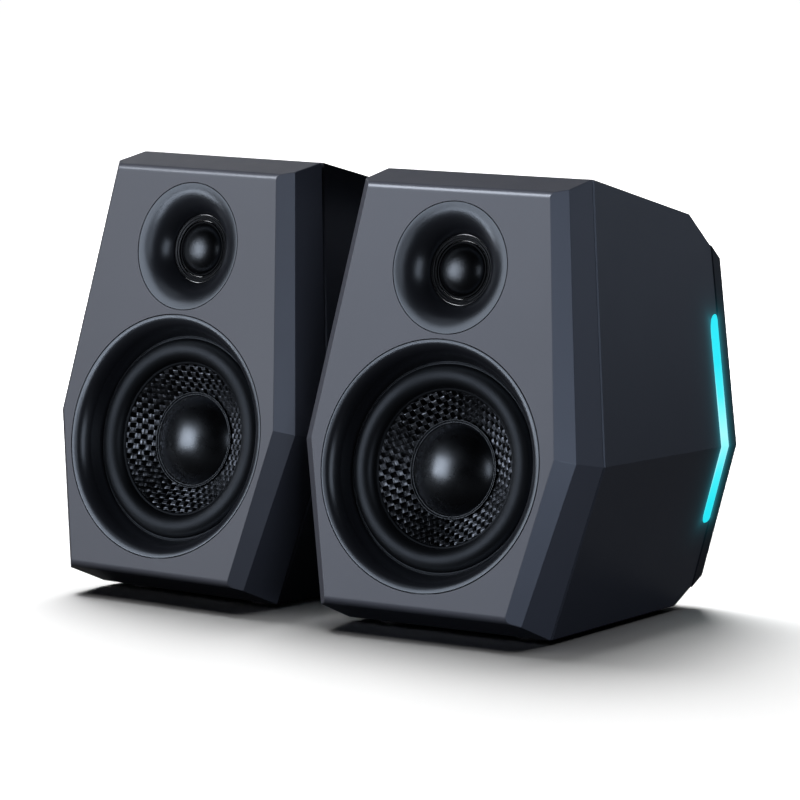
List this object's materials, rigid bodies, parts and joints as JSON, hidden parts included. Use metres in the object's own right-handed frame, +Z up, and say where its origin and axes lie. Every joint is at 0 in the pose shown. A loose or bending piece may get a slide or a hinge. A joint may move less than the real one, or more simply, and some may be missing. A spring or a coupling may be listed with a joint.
{
  "type": "desktop speakers",
  "caption": "Pair of faceted two-way desktop speakers with leaning baffles, woven cones, lit side bars, and controls and sockets at the back.",
  "frame": {"origin": "on the desk, under the middle of the pair's overall box", "axes": "+Z up, the fronts face -Y, +X towards the right speaker as seen by a listener facing them"},
  "size_m": [0.2432, 0.1568, 0.1694],
  "materials": {
    "shell_plastic": "matt, fine spark texture, blue-grey",
    "cover_plastic": "matt, near black",
    "light_plastic": "frosted light guide, lit cyan",
    "board": "satin circuit board",
    "foot_rubber": "matt",
    "black_steel": "black oxide",
    "trim_plastic": "satin, blue-grey",
    "painted_steel": "black paint",
    "surround_rubber": "satin",
    "woven_cone": "woven fibre in a clear coat",
    "gloss_black": "polished",
    "coil_metal": "enamelled",
    "spider_cloth": "resin-stiffened cloth",
    "zinc_steel": "zinc plated",
    "ferrite": "ground",
    "ring_metal": "bright",
    "dome_fabric": "doped, satin",
    "heat_sink_metal": "raw extrusion",
    "socket_plastic": "satin black",
    "socket_metal": "tin plated",
    "knob_plastic": "satin"
  },
  "bodies": {
    "right_cabinet": {"right_amplifier_board": "board", "right_audio_jacks": "socket_plastic", "right_control_board": "board", "right_cover_screws": "black_steel", "right_dc_jack": "socket_plastic", "right_driver_screws": "black_steel", "right_feet": "foot_rubber", "right_front_bezel": "shell_plastic", "right_heat_sink": "heat_sink_metal", "right_housing": "shell_plastic", "right_led_strips": "board", "right_light_bars": "light_plastic", "right_link_socket": "socket_plastic", "right_port_tube": "cover_plastic", "right_rear_cover": "cover_plastic", "right_tweeter_horn": "trim_plastic", "right_tweeter_motor": "zinc_steel", "right_tweeter_ring": "ring_metal", "right_usb_socket": "socket_metal", "right_volume_encoder": "socket_metal", "right_woofer_basket": "painted_steel", "right_woofer_magnet": "ferrite", "right_woofer_spider": "spider_cloth", "right_woofer_surround": "surround_rubber", "right_woofer_top_plate": "zinc_steel", "right_woofer_trim_ring": "trim_plastic", "right_woofer_yoke": "zinc_steel"},
    "right_woofer_moving": {"right_woofer_cone": "woven_cone", "right_woofer_dust_cap": "gloss_black", "right_woofer_voice_coil": "coil_metal"},
    "right_tweeter_moving": {"right_tweeter_dome": "dome_fabric", "right_tweeter_voice_coil": "coil_metal"},
    "left_cabinet": {"left_cover_screws": "black_steel", "left_driver_screws": "black_steel", "left_feet": "foot_rubber", "left_front_bezel": "shell_plastic", "left_housing": "shell_plastic", "left_led_strips": "board", "left_light_bars": "light_plastic", "left_link_socket": "socket_plastic", "left_port_tube": "cover_plastic", "left_rear_cover": "cover_plastic", "left_tweeter_horn": "trim_plastic", "left_tweeter_motor": "zinc_steel", "left_tweeter_ring": "ring_metal", "left_woofer_basket": "painted_steel", "left_woofer_magnet": "ferrite", "left_woofer_spider": "spider_cloth", "left_woofer_surround": "surround_rubber", "left_woofer_top_plate": "zinc_steel", "left_woofer_trim_ring": "trim_plastic", "left_woofer_yoke": "zinc_steel"},
    "left_woofer_moving": {"left_woofer_cone": "woven_cone", "left_woofer_dust_cap": "gloss_black", "left_woofer_voice_coil": "coil_metal"},
    "left_tweeter_moving": {"left_tweeter_dome": "dome_fabric", "left_tweeter_voice_coil": "coil_metal"},
    "volume_knob": {"right_volume_knob": "knob_plastic"},
    "source_button": {"right_source_button": "knob_plastic"},
    "light_button": {"right_light_button": "knob_plastic"}
  },
  "joints": [
    {"name": "right_woofer_travel", "type": "slide", "parent": "right_cabinet", "child": "right_woofer_moving", "axis": [0, -0.9848, 0.1736], "range_m": [-0.003, 0.003], "stiffness_N_per_m": 900, "deforming": ["right_woofer_surround", "right_woofer_spider"]},
    {"name": "right_tweeter_travel", "type": "slide", "parent": "right_cabinet", "child": "right_tweeter_moving", "axis": [0, -0.9848, 0.1736], "range_m": [-0.00025, 0.00025], "stiffness_N_per_m": 2000},
    {"name": "left_woofer_travel", "type": "slide", "parent": "left_cabinet", "child": "left_woofer_moving", "axis": [-0.0858, -0.9811, 0.1736], "range_m": [-0.003, 0.003], "stiffness_N_per_m": 900, "deforming": ["left_woofer_surround", "left_woofer_spider"]},
    {"name": "left_tweeter_travel", "type": "slide", "parent": "left_cabinet", "child": "left_tweeter_moving", "axis": [-0.0858, -0.9811, 0.1736], "range_m": [-0.00025, 0.00025], "stiffness_N_per_m": 2000},
    {"name": "volume_knob_turn", "type": "hinge", "parent": "right_cabinet", "child": "volume_knob", "pos_m": [0.06194, 0.06051, 0.07], "axis": [0, 1, 0], "range_deg": [-150, 150]},
    {"name": "source_button_press", "type": "slide", "parent": "right_cabinet", "child": "source_button", "axis": [0, -1, 0], "range_m": [0, 0.0005], "stiffness_N_per_m": 2500, "springref_m": -0.0002},
    {"name": "light_button_press", "type": "slide", "parent": "right_cabinet", "child": "light_button", "axis": [0, -1, 0], "range_m": [0, 0.0005], "stiffness_N_per_m": 2500, "springref_m": -0.0002},
    {"name": "speaker_spacing", "type": "slide", "parent": "right_cabinet", "child": "left_cabinet", "axis": [-1, 0, 0], "range_m": [0, 0.3]}
  ]
}
